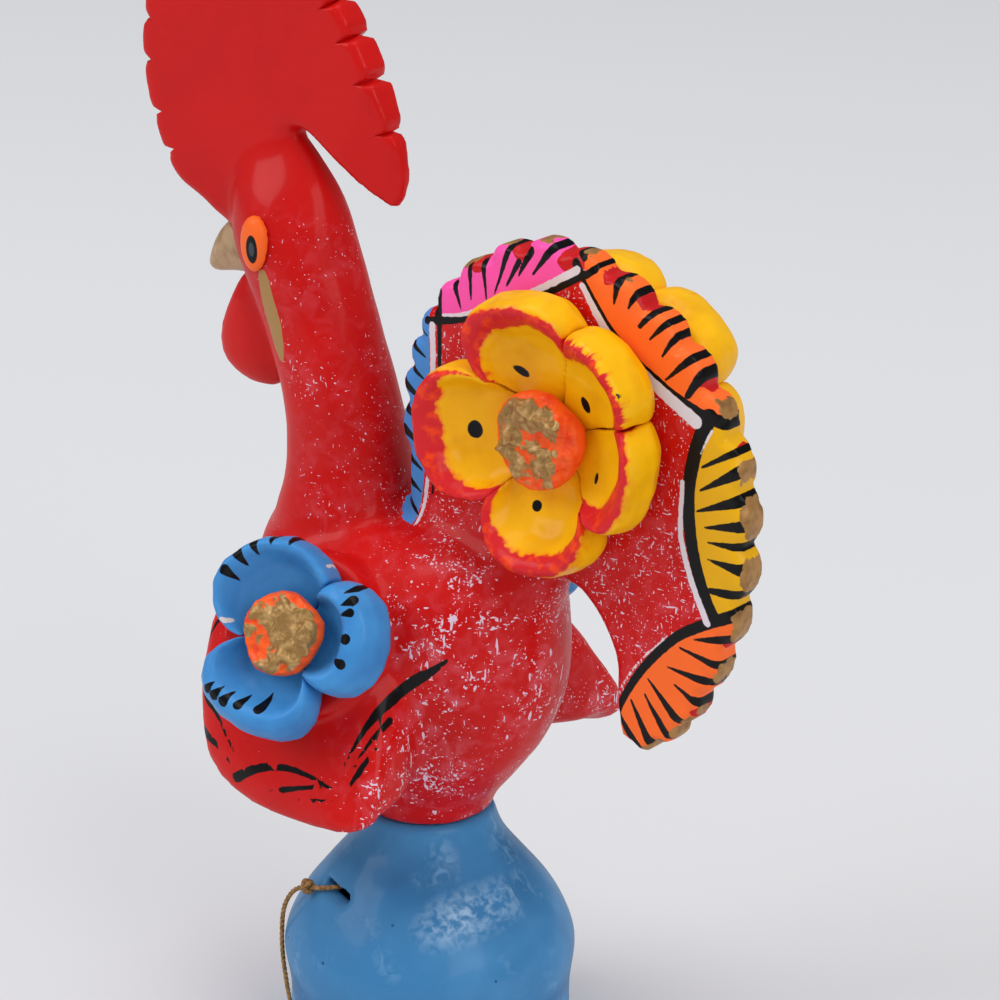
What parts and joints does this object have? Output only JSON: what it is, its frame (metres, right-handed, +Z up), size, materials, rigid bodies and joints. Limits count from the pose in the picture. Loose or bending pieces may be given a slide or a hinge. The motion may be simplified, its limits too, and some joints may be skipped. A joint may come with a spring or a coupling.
{
  "type": "rooster ornament",
  "caption": "Painted clay rooster on a bell-shaped stand, with a fan tail, clay flowers on its wings and tail, and a twine through a slot in the stand.",
  "frame": {"origin": "centre of the stand's round foot, on the plane that it rests on", "axes": "+Z is up, the rooster faces -Y, and its left side is +X"},
  "size_m": [0.092, 0.1397, 0.2172],
  "materials": {
    "stand_paint": "painted and varnished clay, glossy, light blue with paler sponge marks",
    "red_paint": "painted and varnished clay, glossy, red with white speckles",
    "comb_paint": "painted and varnished clay, glossy, plain red",
    "beak_paint": "painted and varnished clay, glossy, gold-tan",
    "eye_paint": "painted and varnished clay, glossy, orange with a black pupil",
    "tail_paint": "painted and varnished clay, glossy, blue, pink, orange, yellow and red bands with black strokes",
    "yellow_petal_paint": "painted and varnished clay, glossy, yellow with red rims",
    "blue_petal_paint": "painted and varnished clay, glossy, sky blue with dark dashes",
    "heart_paint": "painted and varnished clay, glossy, gold on orange",
    "jute": "natural twisted jute twine"
  },
  "bodies": {
    "root": {"stand": "stand_paint", "body": "red_paint", "neck_and_head": "red_paint", "comb": "comb_paint", "beak": "beak_paint", "wattle": "comb_paint", "eye_left": "eye_paint", "eye_right": "eye_paint", "wing_left": "red_paint", "wing_right": "red_paint", "tail_fan": "tail_paint", "tail_flower_left_petal_1": "yellow_petal_paint", "tail_flower_left_petal_2": "yellow_petal_paint", "tail_flower_left_petal_3": "yellow_petal_paint", "tail_flower_left_petal_4": "yellow_petal_paint", "tail_flower_left_petal_5": "yellow_petal_paint", "tail_flower_left_heart": "heart_paint", "tail_flower_right_petal_1": "yellow_petal_paint", "tail_flower_right_petal_2": "yellow_petal_paint", "tail_flower_right_petal_3": "yellow_petal_paint", "tail_flower_right_petal_4": "yellow_petal_paint", "tail_flower_right_petal_5": "yellow_petal_paint", "tail_flower_right_heart": "heart_paint", "wing_flower_left_petal_1": "blue_petal_paint", "wing_flower_left_petal_2": "blue_petal_paint", "wing_flower_left_petal_3": "blue_petal_paint", "wing_flower_left_heart": "heart_paint", "wing_flower_right_petal_1": "blue_petal_paint", "wing_flower_right_petal_2": "blue_petal_paint", "wing_flower_right_petal_3": "blue_petal_paint", "wing_flower_right_heart": "heart_paint", "twine": "jute", "twine_knot": "jute"}
  },
  "joints": []
}
